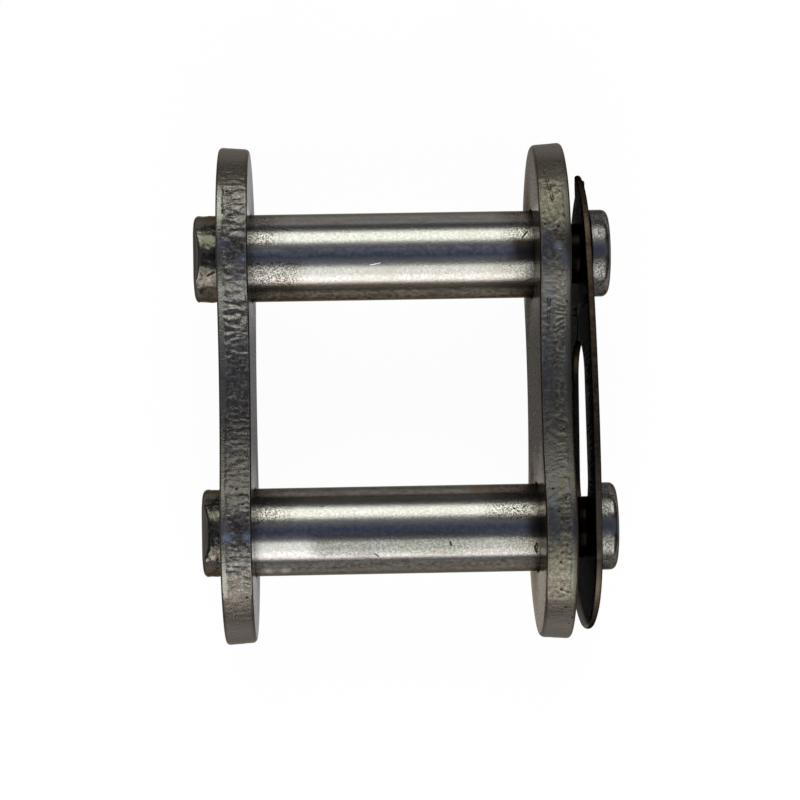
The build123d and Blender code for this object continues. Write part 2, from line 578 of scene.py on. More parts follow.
def clip_half():
    """Front half of the clip's outline: up its flank, round the prong's nose and back inside."""
    end_y = clip_low.y + CLOSED_END_RADIUS
    path = arc((end_y, 0), CLOSED_END_RADIUS, math.pi, math.pi / 2)[1:]
    collar = (PIN_OFFSET, COLLAR_HALF_WIDTH)
    path += arc_between((end_y, CLOSED_END_RADIUS), (0, FLANK_HALF_WIDTH), collar)[1:]
    prong = arc_between(collar, SHOULDER, (TIP_Y, 0))[1:]
    path += [point for point in prong if point[1] > mouth_edge(TIP_Y) + NOSE_ROUND]
    run = Vector(path[-1]) - Vector(path[-2])
    corner_y = path[-1][0] - run.x / run.y * (path[-1][1] - mouth_edge(TIP_Y))
    corner = (corner_y, mouth_edge(TIP_Y))
    inner = (corner_y - NOSE_ROUND, mouth_edge(corner_y - NOSE_ROUND))
    path += curve(path[-1], corner, inner)[1:]
    mouth_angle = math.asin(mouth_edge(PIN_OFFSET + SEAT_RADIUS) / SEAT_RADIUS)
    slit_angle = math.pi - math.asin(SLIT_HALF_WIDTH / SEAT_RADIUS)
    path += arc((PIN_OFFSET, 0), SEAT_RADIUS, mouth_angle, slit_angle)
    spread = math.acos((SLOT_FOOT_RADIUS - SLOT_HEAD_RADIUS) / (SLOT_HEAD_Y - SLOT_FOOT_Y))
    slot_angle = math.asin(SLIT_HALF_WIDTH / SLOT_HEAD_RADIUS)
    path += arc((SLOT_HEAD_Y, 0), SLOT_HEAD_RADIUS, slot_angle, spread)
    meet_y = slot_meets_seat()
    meet_z = math.sqrt(SEAT_RADIUS**2 - (meet_y + PIN_OFFSET) ** 2)
    foot_angle = math.atan2(meet_z, meet_y - SLOT_FOOT_Y)
    path += arc((SLOT_FOOT_Y, 0), SLOT_FOOT_RADIUS, spread, foot_angle)
    seat_angle = math.atan2(meet_z, meet_y + PIN_OFFSET)
    path += arc((-PIN_OFFSET, 0), SEAT_RADIUS, seat_angle, math.pi)[1:-1]
    return path


def clip_loop():
    """Whole outline of the clip as one closed loop: outside, nose, mouth and slot."""
    half = clip_half()
    back = [(y, -z) for y, z in reversed(half)]
    foot = (clip_low.y, 0.0)
    inner = (-PIN_OFFSET - SEAT_RADIUS, 0.0)
    return spread_evenly([foot] + half + [inner] + back)


def spread_evenly(loop):
    """The loop with its long straight runs divided and its double points left out."""
    points = []
    for i, a in enumerate(loop):
        b = loop[(i + 1) % len(loop)]
        length = math.dist(a, b)
        if length < 0.01:
            continue
        count = max(1, round(length / (1.5 * CLIP_STEP)))
        for k in range(count):
            points.append((a[0] + (b[0] - a[0]) * k / count, a[1] + (b[1] - a[1]) * k / count))
    return points


def inward_directions(loop):
    """Unit directions from the loop's points into the metal."""
    found = []
    for i, point in enumerate(loop):
        here = Vector(point)
        run = (here - Vector(loop[i - 1])).normalized()
        run += (Vector(loop[(i + 1) % len(loop)]) - here).normalized()
        run.normalize()
        found.append(Vector((run.y, -run.x)))
    return found


def clip_x(place):
    """Where a point of the flat sheet lies along X once the sheet is tilted and its back prong lifted."""
    x = link_high.x + CLIP_STANDOFF + place.x / math.cos(CLIP_TILT) + place.z * math.tan(CLIP_TILT)
    rise = place.y - LIFT_START
    if place.z < 0 and rise > -LIFT_BLEND:
        x += PRONG_LIFT * (rise + math.hypot(rise, LIFT_BLEND * 0.3)) / 2
    return x


def outer_share(place, into):
    """1 on the clip's outer edge and 0 on the edges of its slot and holes."""
    if place.x < -PIN_OFFSET - SEAT_RADIUS:
        return max(0.0, into.x)
    return max(0.0, -into.y * math.copysign(1, place.y))


def spring_clip(material):
    """Punched clip of spring sheet that stands tilted in the grooves of the pins."""
    bm = bmesh.new()
    rim_layer = bm.verts.layers.float.new("rim")
    loop = clip_loop()
    inward = inward_directions(loop)
    profile = []
    for i in range(CORNER_ARC_STEPS + 1):
        angle = math.pi / 2 * i / CORNER_ARC_STEPS
        profile.append((CLIP_CORNER * (1 - math.cos(angle)), CLIP_CORNER * (1 - math.sin(angle))))
    profile += [(CLIP_THICKNESS - depth, inset) for depth, inset in reversed(profile)]
    rings = []
    for depth, inset in profile:
        ring = []
        for point, into in zip(loop, inward):
            wear = max(smooth_step(*HEEL_WEAR, point[0]), smooth_step(*NOSE_WEAR, point[0]))
            rounded = 1 + (WORN_CORNER / CLIP_CORNER - 1) * wear
            spot = Vector(point) + into * inset * rounded
            if spot.y < 0:
                spot.x -= BACK_NOSE_SETBACK * smooth_step(PIN_OFFSET + 3.5, TIP_Y, spot.x)
            deep = min(depth, CLIP_THICKNESS - depth) * rounded
            x = deep if depth < CLIP_THICKNESS / 2 else CLIP_THICKNESS - deep
            vert = bm.verts.new((x, spot.x, spot.y))
            share = inset / CLIP_CORNER
            bare = 1 - share if depth < CLIP_THICKNESS / 2 else 1 - share**3
            vert[rim_layer] = bare * outer_share(spot, into)
            ring.append(vert)
        rings.append(ring)
    for a, b in zip(rings, rings[1:]):
        bridge(bm, a, b)
    fill(bm, [rings[0]])
    fill(bm, [rings[-1]])
    for k in range(1, int((clip_high.y - clip_low.y) / STRIP_WIDTH)):
        cut = (0, clip_low.y + k * STRIP_WIDTH, 0)
        everything = bm.verts[:] + bm.edges[:] + bm.faces[:]
        bmesh.ops.bisect_plane(bm, geom=everything, plane_co=cut, plane_no=(0, 1, 0))
    for vert in bm.verts:
        vert.co.x = clip_x(vert.co)
    add_piece(bm, "spring_clip", "pin_side", [material])


# ---------------------------------------------------------------- material helpers

class Wire:
    """A node's output. Arithmetic on it adds the nodes that this takes."""

    def __init__(self, made, output=0):
        self.tree = made.id_data
        self.socket = made.outputs[output]

    def __add__(self, other):
        return maths("ADD", self, other)

    def __sub__(self, other):
        return maths("SUBTRACT", self, other)

    def __rsub__(self, other):
        return maths("SUBTRACT", other, self)

    def __mul__(self, other):
        return maths("MULTIPLY", self, other)

    def __truediv__(self, other):
        return maths("DIVIDE", self, other)

    def __abs__(self):
        return maths("ABSOLUTE", self)


def feed(made, inputs):
    """Sets or links inputs of a node."""
    for key, value in inputs.items():
        if isinstance(value, Wire):
            value.tree.links.new(value.socket, made.inputs[key])
        else:
            made.inputs[key].default_value = value


def node(tree, kind, inputs=None, **settings):
    """Adds a node with its settings and its inputs."""
    made = tree.nodes.new(kind)
    for key, value in settings.items():
        setattr(made, key, value)
    feed(made, inputs or {})
    return made


def ramp(factor, stops):
    """Colour ramp through (position, colour) stops."""
    made = node(factor.tree, "ShaderNodeValToRGB", {"Fac": factor})
    elements = made.color_ramp.elements
    for element, (position, colour) in zip(elements, (stops[0], stops[-1])):
        element.position = position
        element.color = colour
    for position, colour in stops[1:-1]:
        elements.new(position).color = colour
    return Wire(made, "Color")


def span(value, low, high, to_low=0.0, to_high=1.0):
    """Maps a value from low..high to another range, smoothly and clamped."""
    inputs = {"Value": value, "From Min": low, "From Max": high, "To Min": to_low, "To Max": to_high}
    return Wire(node(value.tree, "ShaderNodeMapRange", inputs, interpolation_type="SMOOTHSTEP"), "Result")


def maths(operation, a, b=0.0):
    """One arithmetic step, on one wire or more."""
    tree = a.tree if isinstance(a, Wire) else b.tree
    return Wire(node(tree, "ShaderNodeMath", {0: a, 1: b}, operation=operation))


def vectors(operation, a, b=(0, 0, 0), output=0):
    """One step of vector arithmetic."""
    return Wire(node(a.tree, "ShaderNodeVectorMath", {0: a, 1: b}, operation=operation), output)


def axes(vector):
    """X, Y and Z of a vector."""
    made = node(vector.tree, "ShaderNodeSeparateXYZ", {0: vector})
    return [Wire(made, axis) for axis in "XYZ"]


def blend(factor, a, b, mode="MIX"):
    """Mixes two colours."""
    inputs = {"Factor": factor, 6: a, 7: b}
    return Wire(node(factor.tree, "ShaderNodeMix", inputs, data_type="RGBA", blend_type=mode), 2)


def grain(vector, scale, detail=4.0, rough=0.6):
    """Fractal noise, with its scale per millimetre."""
    inputs = {"Vector": vector, "Scale": scale, "Detail": detail, "Roughness": rough}
    return Wire(node(vector.tree, "ShaderNodeTexNoise", inputs), "Fac")


def pits(vector, scale, size):
    """1 inside small scattered spots and 0 elsewhere."""
    cells = node(vector.tree, "ShaderNodeTexVoronoi", {"Vector": vector, "Scale": scale, "Randomness": 1.0})
    return span(Wire(cells, "Distance"), size * 0.5, size, 1.0, 0.0)


def scratch(vector, start, stop, width):
    """1 along a short straight mark between two points, and 0 away from it."""
    run = stop - start
    here = vectors("SUBTRACT", vector, start)
    inputs = {0: vectors("DOT_PRODUCT", here, run, "Value"), 1: 1 / run.length_squared}
    share = Wire(node(vector.tree, "ShaderNodeMath", inputs, operation="MULTIPLY", use_clamp=True))
    nearest = Wire(node(vector.tree, "ShaderNodeVectorMath", {0: run, "Scale": share}, operation="SCALE"))
    return span(vectors("DISTANCE", here, nearest, "Value"), width * 0.4, width, 1.0, 0.0)


def spot(vector, centre, radius):
    """1 in the middle of a ragged round stain and 0 away from it."""
    apart = vectors("DISTANCE", vector, centre, "Value") + grain(vector, 3.0, 5) * (radius * 2.0)
    return span(apart, radius, radius * 2.2, 0.7, 0.0)


def millimetres(tree, stretch_by=(1, 1, 1)):
    """Object coordinates in millimetres, stretched."""
    inputs = {0: Wire(node(tree, "ShaderNodeTexCoord"), "Object"), "Scale": [k / MM for k in stretch_by]}
    return Wire(node(tree, "ShaderNodeMapping", inputs))


def facing(tree):
    """X, Y and Z of the direction that the surface faces."""
    return axes(Wire(node(tree, "ShaderNodeTexCoord"), "Normal"))


def attribute(tree, name):
    """A value painted on the mesh."""
    return Wire(node(tree, "ShaderNodeAttribute", attribute_name=name), "Fac")


def bumps(layers):
    """Stacked bump nodes: each layer is (height, depth in millimetres)."""
    normal = None
    for height, depth in layers:
        inputs = {"Height": height, "Strength": 1.0, "Distance": depth * MM}
        if normal:
            inputs["Normal"] = normal
        normal = Wire(node(height.tree, "ShaderNodeBump", inputs))
    return normal


def cleared_tree(owner):
    """The emptied node tree of a material or of the world."""
    owner.use_nodes = True
    owner.node_tree.nodes.clear()
    return owner.node_tree


def metal(name, edge_tint):
    """An empty metal material, with its tree and its shader."""
    material = bpy.data.materials.new(name)
    tree = cleared_tree(material)
    shader = node(tree, "ShaderNodeBsdfPrincipled", {"Metallic": 1.0, "Specular Tint": edge_tint})
    node(tree, "ShaderNodeOutputMaterial", {"Surface": Wire(shader)})
    return material, tree, shader


def tone(value, tint=(1, 1, 1)):
    """A grey level with a tint, as a colour with alpha."""
    return (value * tint[0], value * tint[1], value * tint[2], 1.0)


WARM = (1.0, 0.95, 0.88)
BROWN = (1.0, 0.86, 0.70)
RUST = (1.0, 0.80, 0.60)
DRY = (1.0, 0.91, 0.84)
OLIVE = (0.94, 1.0, 0.84)
PALE_OLIVE = (0.98, 1.0, 0.93)
LILAC = (1.0, 0.96, 0.99)
BLUE = (0.91, 0.97, 1.1)
VIOLET = (0.93, 0.95, 1.18)


# ---------------------------------------------------------------- the pins' steel

# Marks on the pins: (pin's y, x, angle) at one end, (x, angle) at the other, and width. Nicks are dark.
NICKS = [
    (PIN_OFFSET, -10.0, 35.5, -9.45, 32, 0.09),
    (PIN_OFFSET, 1.5, -51, 1.65, -51, 0.11),
    (PIN_OFFSET, 6.4, -52, 6.6, -52, 0.11),
    (PIN_OFFSET, 11.9, 15, 12.4, 24, 0.08),
    (PIN_OFFSET, 12.15, 33, 12.4, 28, 0.05),
    (PIN_OFFSET, 12.3, -43, 12.9, -39, 0.06),
    (PIN_OFFSET, -16.9, -29, -16.35, -24, 0.13),
    (-PIN_OFFSET, -6.9, 34, -6.7, 34, 0.09),
    (-PIN_OFFSET, -2.1, -32, -1.75, -36, 0.07),
    (-PIN_OFFSET, 4.75, -17, 4.85, -22, 0.09),
    (-PIN_OFFSET, 10.6, 26, 10.7, 25, 0.09),
    (-PIN_OFFSET, 10.95, 22, 11.0, 21, 0.07),
    (-PIN_OFFSET, 11.45, 26, 11.65, 29, 0.07),
    (-PIN_OFFSET, 12.63, -21, 12.5, -27, 0.1),
    (-PIN_OFFSET, 12.5, -27, 12.66, -34, 0.12),
    (-PIN_OFFSET, 12.76, -22, 12.7, -30, 0.05),
]
GLINTS = [(PIN_OFFSET, -2.05, -17.5, -1.15, -15, 0.05)]
# Painted highlights on the heads, on the bands where the soft boxes reflect, then brown and pale stains:
# (pin's y, x, angle, radius, colour).
HEAD_HIGHLIGHTS_AND_STAINS = [
    (PIN_OFFSET, -16.4, 15, 1.2, (0.055, 0.06, 0.045, 1)),
    (PIN_OFFSET, -16.6, 19, 1.0, (0.05, 0.055, 0.04, 1)),
    (PIN_OFFSET, -16.9, 32, 0.4, (0.10, 0.10, 0.08, 1)),
    (PIN_OFFSET, -16.9, -37, 0.8, (0.11, 0.10, 0.09, 1)),
    (-PIN_OFFSET, -17.4, 20, 0.5, (0.11, 0.11, 0.09, 1)),
    (-PIN_OFFSET, -17.0, -38, 0.7, (0.10, 0.09, 0.08, 1)),
    (PIN_OFFSET, 11.0, -12, 0.7, (0.10, 0.10, 0.085, 1)),
    (-PIN_OFFSET, 7.4, 60, 0.8, (0.12, 0.085, 0.055, 1)),
    (-PIN_OFFSET, -11.8, -62, 0.6, (0.40, 0.38, 0.36, 1)),
    (-PIN_OFFSET, -10.3, -62, 0.6, (0.40, 0.38, 0.36, 1)),
]


def on_pin(y, x, degrees):
    """A point of a pin's surface, by its angle from straight up towards +Y."""
    angle = math.radians(degrees)
    return Vector((x, y + PIN_RADIUS * math.sin(angle), PIN_RADIUS * math.cos(angle)))


def marked(vector, marks):
    """1 on any of the straight marks on the pins and 0 elsewhere."""
    found = None
    for y, start, start_angle, stop, stop_angle, width in marks:
        line = scratch(vector, on_pin(y, start, start_angle), on_pin(y, stop, stop_angle), width)
        found = maths("MAXIMUM", found, line) if found else line
    return found


def turned_rings(y, z):
    """Uneven rings about the pins' axes, as turning leaves them on an end."""
    across = node(y.tree, "ShaderNodeCombineXYZ", {"Y": abs(y) - PIN_OFFSET, "Z": z})
    radius = vectors("LENGTH", Wire(across), output="Value")
    return grain(Wire(node(y.tree, "ShaderNodeCombineXYZ", {"X": radius})), 5.0, 3)


def etched_ends(x, slope, lower, cloud):
    """1 where the pins are etched near the plates, outside their darkest stretch, and 0 elsewhere."""
    right = span(x, -1, 1)
    above = span(slope, -0.1, 0.0) * (lower * right)
    below = span(slope, -0.1, 0.0, 1.0, 0.0) * span(x, -1, 1, 1.0, 0.0)
    reach = abs(x) + cloud * 3.0 + (below + above) * 1.9
    etched = span(reach, 10.4, 13.2) * span(abs(slope), 0.14, 0.22)
    downward = span(slope, -0.4, -0.28, 1.0, 0.0) * right
    etched = etched * span(downward, 0.0, 1.0, 1.0, 0.6)
    return etched * (1 - below * lower)


def pin_flanks(colour, slope, lower, blotch):
    """The pin's colour with painted reflections of the floor on its flanks: brown and mottled dark where
    they face sideways, lighter where they face out of the link.
    """
    upper = 1 - lower
    # Painted reflection: brown on the upper pin's lower flank.
    colour = blend(upper * span(slope, -0.72, -0.6, 0.6, 0.0), colour, tone(0.20, BROWN))
    streak = grain(millimetres(slope.tree, (0.12, 1.0, 1.0)), 2.5, 3)
    floor_reflection_colour = ramp(streak * 0.3 + blotch * 0.7, [(0.42, tone(0.045, BROWN)), (0.58, tone(0.155, BROWN))])
    low_flank = span(slope + upper * 0.11, -0.74, -0.66, 0.8, 0.0)
    flank = maths("MAXIMUM", low_flank, span(slope, 0.66, 0.8, 0.0, 0.5))
    colour = blend(flank, colour, floor_reflection_colour)
    # Painted reflection of the lit floor: lighter where the flanks face out of the link.
    under = lower * span(slope, -0.9, -0.8, 0.4, 0.0)
    over = upper * span(slope, 0.72, 0.85, 0.0, 0.5)
    return blend(maths("MAXIMUM", under, over), colour, tone(0.25, WARM))


def pin_barrel(vector, x, slope, lower, cloud):
    """Colour of the barrels: a bluish core and brown flanks that are painted reflections, a painted
    reflection on the upper pin, and on the lower pin a mottled film, partly etching and partly painted
    shade.
    """
    fine = grain(vector, 5.0, 4, 0.7)
    plain = ramp(fine, [(0.35, tone(0.145)), (0.65, tone(0.20))])
    colour = blend(span(cloud, 0.45, 0.75, 0.0, 0.3), plain, tone(0.13, BROWN))
    # Painted reflection: the upper pin is lighter where it faces about straight up.
    painted_reflection = span(slope, -0.10, -0.04) * span(slope, 0.04, 0.11, 0.5, 0.0) * (1 - lower)
    colour = blend(painted_reflection, colour, tone(0.30))
    blotch = grain(vector, 2.2, 5, 0.65)
    # Painted reflection of the dim bluish overhead: a blotchy dark blue core where the barrel faces up.
    overhead_reflection = span(abs(slope), 0.1, 0.2, 1.0, 0.0) * span(blotch, 0.42, 0.62, 0.0, 0.55)
    colour = blend(overhead_reflection, colour, (0.085, 0.095, 0.14, 1))
    colour = pin_flanks(colour, slope, lower, blotch)
    # Partly etched film, partly painted shade: the lower pin is darkened and mottled where it faces partly
    # towards -Y.
    film = lower * span(x, -8.8, -6.8) * span(slope, -0.13, -0.02, 1.0, 0.0) * span(slope, -0.62, -0.5)
    film = film * span(fine, 0.38, 0.62, 0.95, 0.55) * span(x, 5.5, 8.0, 1.0, 0.75)
    return blend(film, colour, tone(0.065, PALE_OLIVE))


def head_steel(x, slope, speck):
    """Colour of the pins' dark heads, browner at their ends, and browner on their flanks as a painted
    reflection of the floor.
    """
    dark = ramp(speck, [(0.35, tone(0.02, BROWN)), (0.65, tone(0.065, WARM))])
    # Painted reflection of the floor: lighter brown where the head's flanks face sideways.
    dark = blend(span(abs(slope), 0.6, 0.85, 0.0, 0.8), dark, tone(0.10, BROWN))
    return blend(span(x, -17.7, -17.2, 0.7, 0.0), dark, tone(0.09, WARM))


def pin_steel():
    """Satin ground steel: etched near the plates, stained, with darker heads and collars, and with painted
    reflections, highlights and shade.
    """
    material, tree, shader = metal("pin_steel", tone(0.35, WARM))
    vector = millimetres(tree)
    x, y, z = axes(vector)
    facing_x, facing_y, _ = facing(tree)
    lower = span(y, -1, 0, 1.0, 0.0)
    head = span(x, -15.9, -15.7, 1.0, 0.0)
    collar = span(x, 18.2, 18.3)
    end = span(abs(facing_x), 0.7, 0.95)
    cloud = grain(vector, 0.35, 3)
    speck = grain(vector, 4.0, 3)
    etch = grain(vector, 7.0, 4, 0.7)
    slope = facing_y + (cloud - 0.5) * 0.16
    level = abs(slope)
    etched = etched_ends(x, slope, lower, cloud)
    colour = pin_barrel(vector, x, slope, lower, cloud)
    colour = blend(etched * span(etch, 0.46, 0.56), colour, tone(0.045, BROWN))
    burnt = span(x - lower * 0.9, 10.4, 11.6, 0.0, 0.9) * span(level, 0.2, 0.3, 1.0, 0.1)
    colour = blend(burnt, colour, tone(0.035, RUST))
    # Painted shade in the recess: the clip's groove is near black.
    colour = blend(span(x, 15.5, 15.8) - collar, colour, tone(0.004, BROWN))
    colour = blend(head, colour, head_steel(x, slope, speck))
    # Painted highlights on the heads, then stains.
    for pin_y, spot_x, angle, radius, spot_colour in HEAD_HIGHLIGHTS_AND_STAINS:
        colour = blend(spot(vector, on_pin(pin_y, spot_x, angle), radius), colour, spot_colour)
    bitten = collar * span(x, 19.4, 19.6, 1.0, 0.0)
    colour = blend(bitten, colour, ramp(etch, [(0.42, tone(0.02, WARM)), (0.58, tone(0.13))]))
    # Painted reflection of the bluish overhead: the collar is tinted blue where it faces up.
    colour = blend(collar * span(level, 0.1, 0.25, 0.8, 0.0), colour, tone(0.12, BLUE))
    turning = turned_rings(y, z)
    faced = ramp(turning, [(0.3, tone(0.10, WARM)), (0.7, tone(0.16, WARM))])
    faced = blend(span(speck, 0.4, 0.65, 0.0, 0.5), faced, tone(0.07, BROWN))
    colour = blend(end * (1 - head * 0.5), colour, faced)
    nicks = maths("MAXIMUM", pits(vector, 0.7, 0.045), marked(vector, NICKS))
    colour = blend(nicks, colour, tone(0.012, BROWN))
    glints = marked(vector, GLINTS)
    satin = grain(millimetres(tree, (1.0, 1.6, 1.6)), 7.0, 3)
    worn = (etched * 0.35 + bitten) * etch
    folds = head * grain(vector, 0.9, 3)
    layers = [(satin, 0.006), (worn, 0.016), (folds, 0.07), (nicks, -0.04), (end * turning, 0.02)]
    finish = {
        "Base Color": blend(glints, colour, tone(0.6)),
        "Roughness": span(grain(vector, 3.0, 5), 0.3, 0.7, 0.185, 0.23) + head * 0.04 + glints * 0.2,
        "Normal": bumps(layers),
    }
    feed(shader, finish)
    return material


# ---------------------------------------------------------------- the plates' and the clip's steel

def plate_face_steel(name, greys, inward, film, film_colour):
    """Dull rolled face of a plate, in a dark grey, a light one and one for grazing views, with dark pits and
    a painted shadow ring round each pin hole.

    A film on its inner side is given by (y, share bare) stops.
    """
    dark, light, edge_tint = greys
    material, tree, shader = metal(name, edge_tint)
    vector = millimetres(tree)
    y = axes(vector)[1]
    inner = span(facing(tree)[0] * inward, 0.5, 0.9)
    cloud = grain(vector, 0.5, 4)
    turned = (y + (cloud - 0.5) * 6.0 + 25.0) / 50.0
    bare = ramp(turned, [((at + 25) / 50, tone(share)) for at, share in film])
    filmed = inner * (1 - bare)
    colour = blend(filmed, ramp(cloud, [(0.35, dark), (0.7, light)]), film_colour)
    away = vectors("MULTIPLY", vectors("ABSOLUTE", vector), (0, 1, 1))
    apart = vectors("DISTANCE", away, (0, PIN_OFFSET, 0), "Value")
    # Painted shadow: a dark dimpled ring round each pin hole, where the gap round the pin lies.
    ring = span(apart, PIN_RADIUS + 0.12, PIN_RADIUS + 0.25, 1.0, 0.0)
    spots = maths("MAXIMUM", pits(vector, 0.8, 0.11), ring)
    grazed = blend(inner, edge_tint, bare, "MULTIPLY")
    polished = inner * span(abs(abs(y) - PIN_OFFSET), 3.0, 4.2, 1.0, 0.0)
    texture = grain(vector, 7.0, 3) * span(polished, 0.0, 1.0, 1.0, 0.3)
    finish = {
        "Base Color": blend(spots, colour, tone(0.015, BROWN)),
        "Metallic": 1 - filmed * 0.6,
        "Roughness": span(grain(vector, 3.0, 5), 0.3, 0.7, 0.22, 0.32) - polished * 0.13,
        "Specular IOR Level": 0.0,
        "Specular Tint": blend(spots, grazed, tone(0.05, BROWN)),
        "Normal": bumps([(texture, 0.012), (spots, -0.05)]),
    }
    feed(shader, finish)
    return material


def plate_edge_steel(name, dullness, smooth_side, outer_corner_shade, torn_tones, strip_tones, blots):
    """Blanked edge: a burnished strip, torn metal that may have a smooth side, dark corners, dull tips, and
    painted highlights, reflections and shade.
    """
    material, tree, shader = metal(name, tone(0.4, WARM))
    vector = millimetres(tree)
    x, y, _ = axes(vector)
    rim, torn, calm = [attribute(tree, painted) for painted in ("rim", "torn", "calm")]
    speck = grain(vector, 3.0, 5)
    fine = grain(vector, 5.5, 4, 0.7)
    cloud = grain(vector, 0.6, 4)
    low = span(abs(y), 13.0, 15.0, 1.0, 0.0)
    strip = ramp(cloud, list(zip((0.35, 0.7), strip_tones)))
    # Painted highlight: the strip is lighter beyond |y| 13, where the edge turns towards the soft boxes.
    strip = blend(span(abs(y), 13.0, 16.0, 0.0, 0.7), strip, strip_tones[2])
    # Painted reflections of the bluish overhead: blue and violet tints in the middle of the edge, where it
    # faces up.
    strip = blend(low * smooth_side, strip, tone(0.065, BLUE))
    tear = ramp(speck, list(zip((0.3, 0.5, 0.7), torn_tones)))
    tear = blend(low * span(grain(vector, 0.9, 4), 0.48, 0.62, 0.0, 0.5), tear, tone(0.08, VIOLET))
    side = span(abs(x) + cloud, 14.6, 14.9, 1.0, 0.0) * smooth_side
    tear = blend(side * low, tear, tone(0.065, BLUE))
    colour = blend(torn, strip, tear)
    # Painted highlight: pale violet lines along the border of the torn metal, in the middle of the edge.
    lip_highlight = span(torn * (1 - torn), 0.1, 0.24) * span(cloud, 0.4, 0.6, 0.0, 0.7)
    colour = blend(lip_highlight * low, colour, tone(0.17, VIOLET))
    # The blots are painted reflections in blue and painted shade in dark colours.
    for centre, radius, blot in blots:
        colour = blend(spot(vector, centre, radius), colour, blot)
    # Painted shade: the edge is darker from y -11 to 3, most between -9.5 and -5.
    colour = blend(span(y, -11.0, -9.5) * span(y, -5.0, 3.0, 0.6, 0.0), colour, tone(0.04, DRY))
    tip = ramp(fine, [(0.3, tone(0.045, BROWN)), (0.7, tone(0.09, DRY))])
    tip = blend(span(abs(y), 20.0, 22.0, 0.0, 0.85), tip, tone(0.17, DRY))
    colour = blend(calm, colour, tip)
    # Painted shade: dark brown on the outer rounded corner of the plate beside the clip.
    outer = span(abs(x), 15.2, 15.55, 0.0, outer_corner_shade)
    colour = blend(outer * (1 - calm), colour, tone(0.035, BROWN))
    corner = span(rim, 0.7, 1.0, 1.0, 0.0) * span(calm, 0.0, 1.0, 1.0, 0.4)
    colour = blend(corner, colour, (0.063, 0.047, 0.042, 1))
    spots = pits(vector, 0.8, 0.11)
    lines = calm * grain(millimetres(tree, (0.25, 1.0, 1.0)), 3.0, 4)
    finish = {
        "Base Color": blend(spots, colour, tone(0.015, BROWN)),
        "Roughness": span(speck, 0.3, 0.7, 0.2 + dullness, 0.3 + dullness) + calm * 0.08,
        "Normal": bumps([(fine, 0.035), (lines, 0.05), (spots, -0.05)]),
    }
    feed(shader, finish)
    return material


def clip_steel():
    """Blackened spring steel with bare brown outer edges and a worn heel and nose."""
    material, tree, shader = metal("clip_steel", tone(0.02, BROWN))
    vector = millimetres(tree)
    y = axes(vector)[1]
    rim = attribute(tree, "rim")
    speck = grain(vector, 3.0, 5)
    black = ramp(speck, [(0.3, tone(0.008, RUST)), (0.7, tone(0.02, RUST))])
    bare = ramp(speck, [(0.35, (0.014, 0.011, 0.009, 1)), (0.65, (0.042, 0.031, 0.022, 1))])
    bare = blend(span(y, -12.0, -4.0, 0.6, 0.0), bare, tone(0.08, BROWN))
    apart = vectors("DISTANCE", vectors("MULTIPLY", vector, (0, 1, 1)), (0, -13, 4), "Value")
    heel = span(apart + speck, 8.7, 9.9) * span(y, -17.5, -15.0, 1.0, 0.0)
    heel = heel * span(facing(tree)[0], -0.9, -0.4, 1.0, 0.0)
    nose = span(y, 16.8, 18.3) * 0.8
    colour = blend(nose, black, tone(0.05, BROWN))
    colour = blend(heel, colour, tone(0.28, DRY))
    edge_tint = blend(nose, tone(0.009, BROWN), tone(0.03, BROWN))
    edge_tint = blend(heel, edge_tint, tone(0.14, BROWN))
    finish = {
        "Base Color": blend(rim, colour, bare),
        "Metallic": 1 - heel * 0.85,
        "Roughness": span(speck, 0.3, 0.7, 0.3, 0.45),
        "Specular IOR Level": 0.0,
        "Specular Tint": blend(rim, edge_tint, tone(0.02, BROWN)),
        "Normal": bumps([(grain(vector, 6.0, 3), 0.012)]),
    }
    feed(shader, finish)
    return material


# ---------------------------------------------------------------- the link

# How bare a film leaves the plates' inner faces, from the bottom to the top.
LEFT_FILM = [(-18, 1.0), (-9, 0.9), (-5, 0.35), (5, 0.35), (9, 0.8), (18, 0.95)]
RIGHT_FILM = [(-18, 1.0), (-10, 0.95), (-5, 0.20), (5, 0.10), (10, 0.5), (18, 0.6)]
# Blots on the plates' edges: centre, radius and colour. The blue ones are painted reflections of the bluish
# overhead and the dark ones painted shade.
LEFT_BLOTS = [
    ((-15.3, 12.8, 10.2), 0.6, (0.11, 0.115, 0.17, 1)),
    ((-13.5, 11.5, 10.2), 0.6, (0.15, 0.155, 0.22, 1)),
    ((-15.2, -13.1, 10.2), 0.6, (0.22, 0.27, 0.38, 1)),
    ((-13.4, -13.1, 10.1), 0.5, (0.20, 0.25, 0.36, 1)),
    ((-14.4, -11.8, 10.2), 0.9, (0.040, 0.029, 0.029, 1)),
    ((-14.4, -7.2, 10.0), 2.3, (0.035, 0.030, 0.030, 1)),
    ((-14.0, -18.0, 10.0), 2.5, (0.048, 0.043, 0.036, 1)),
]
RIGHT_BLOTS = [
    ((14.4, 13.4, 10.2), 0.5, (0.033, 0.024, 0.026, 1)),
    ((14.6, 12.2, 10.2), 0.5, (0.20, 0.25, 0.31, 1)),
    ((15.2, 11.0, 10.2), 0.8, (0.085, 0.095, 0.14, 1)),
    ((14.4, -18.0, 10.0), 1.5, (0.060, 0.055, 0.045, 1)),
    ((15.3, 16.0, 10.0), 1.3, (0.050, 0.045, 0.036, 1)),
]
left_tones = [(0.036, 0.029, 0.028, 1), (0.073, 0.069, 0.067, 1), tone(0.15, PALE_OLIVE)]
right_tones = [(0.038, 0.030, 0.021, 1), (0.069, 0.063, 0.051, 1), tone(0.135, OLIVE)]
left_strip = (tone(0.085, PALE_OLIVE), tone(0.12, PALE_OLIVE), tone(0.14, PALE_OLIVE))
right_strip = (tone(0.06, OLIVE), tone(0.09, OLIVE), tone(0.085, OLIVE))
left_edge = plate_edge_steel("fixed_plate_edge", 0.0, 0.0, 0.0, left_tones, left_strip, LEFT_BLOTS)
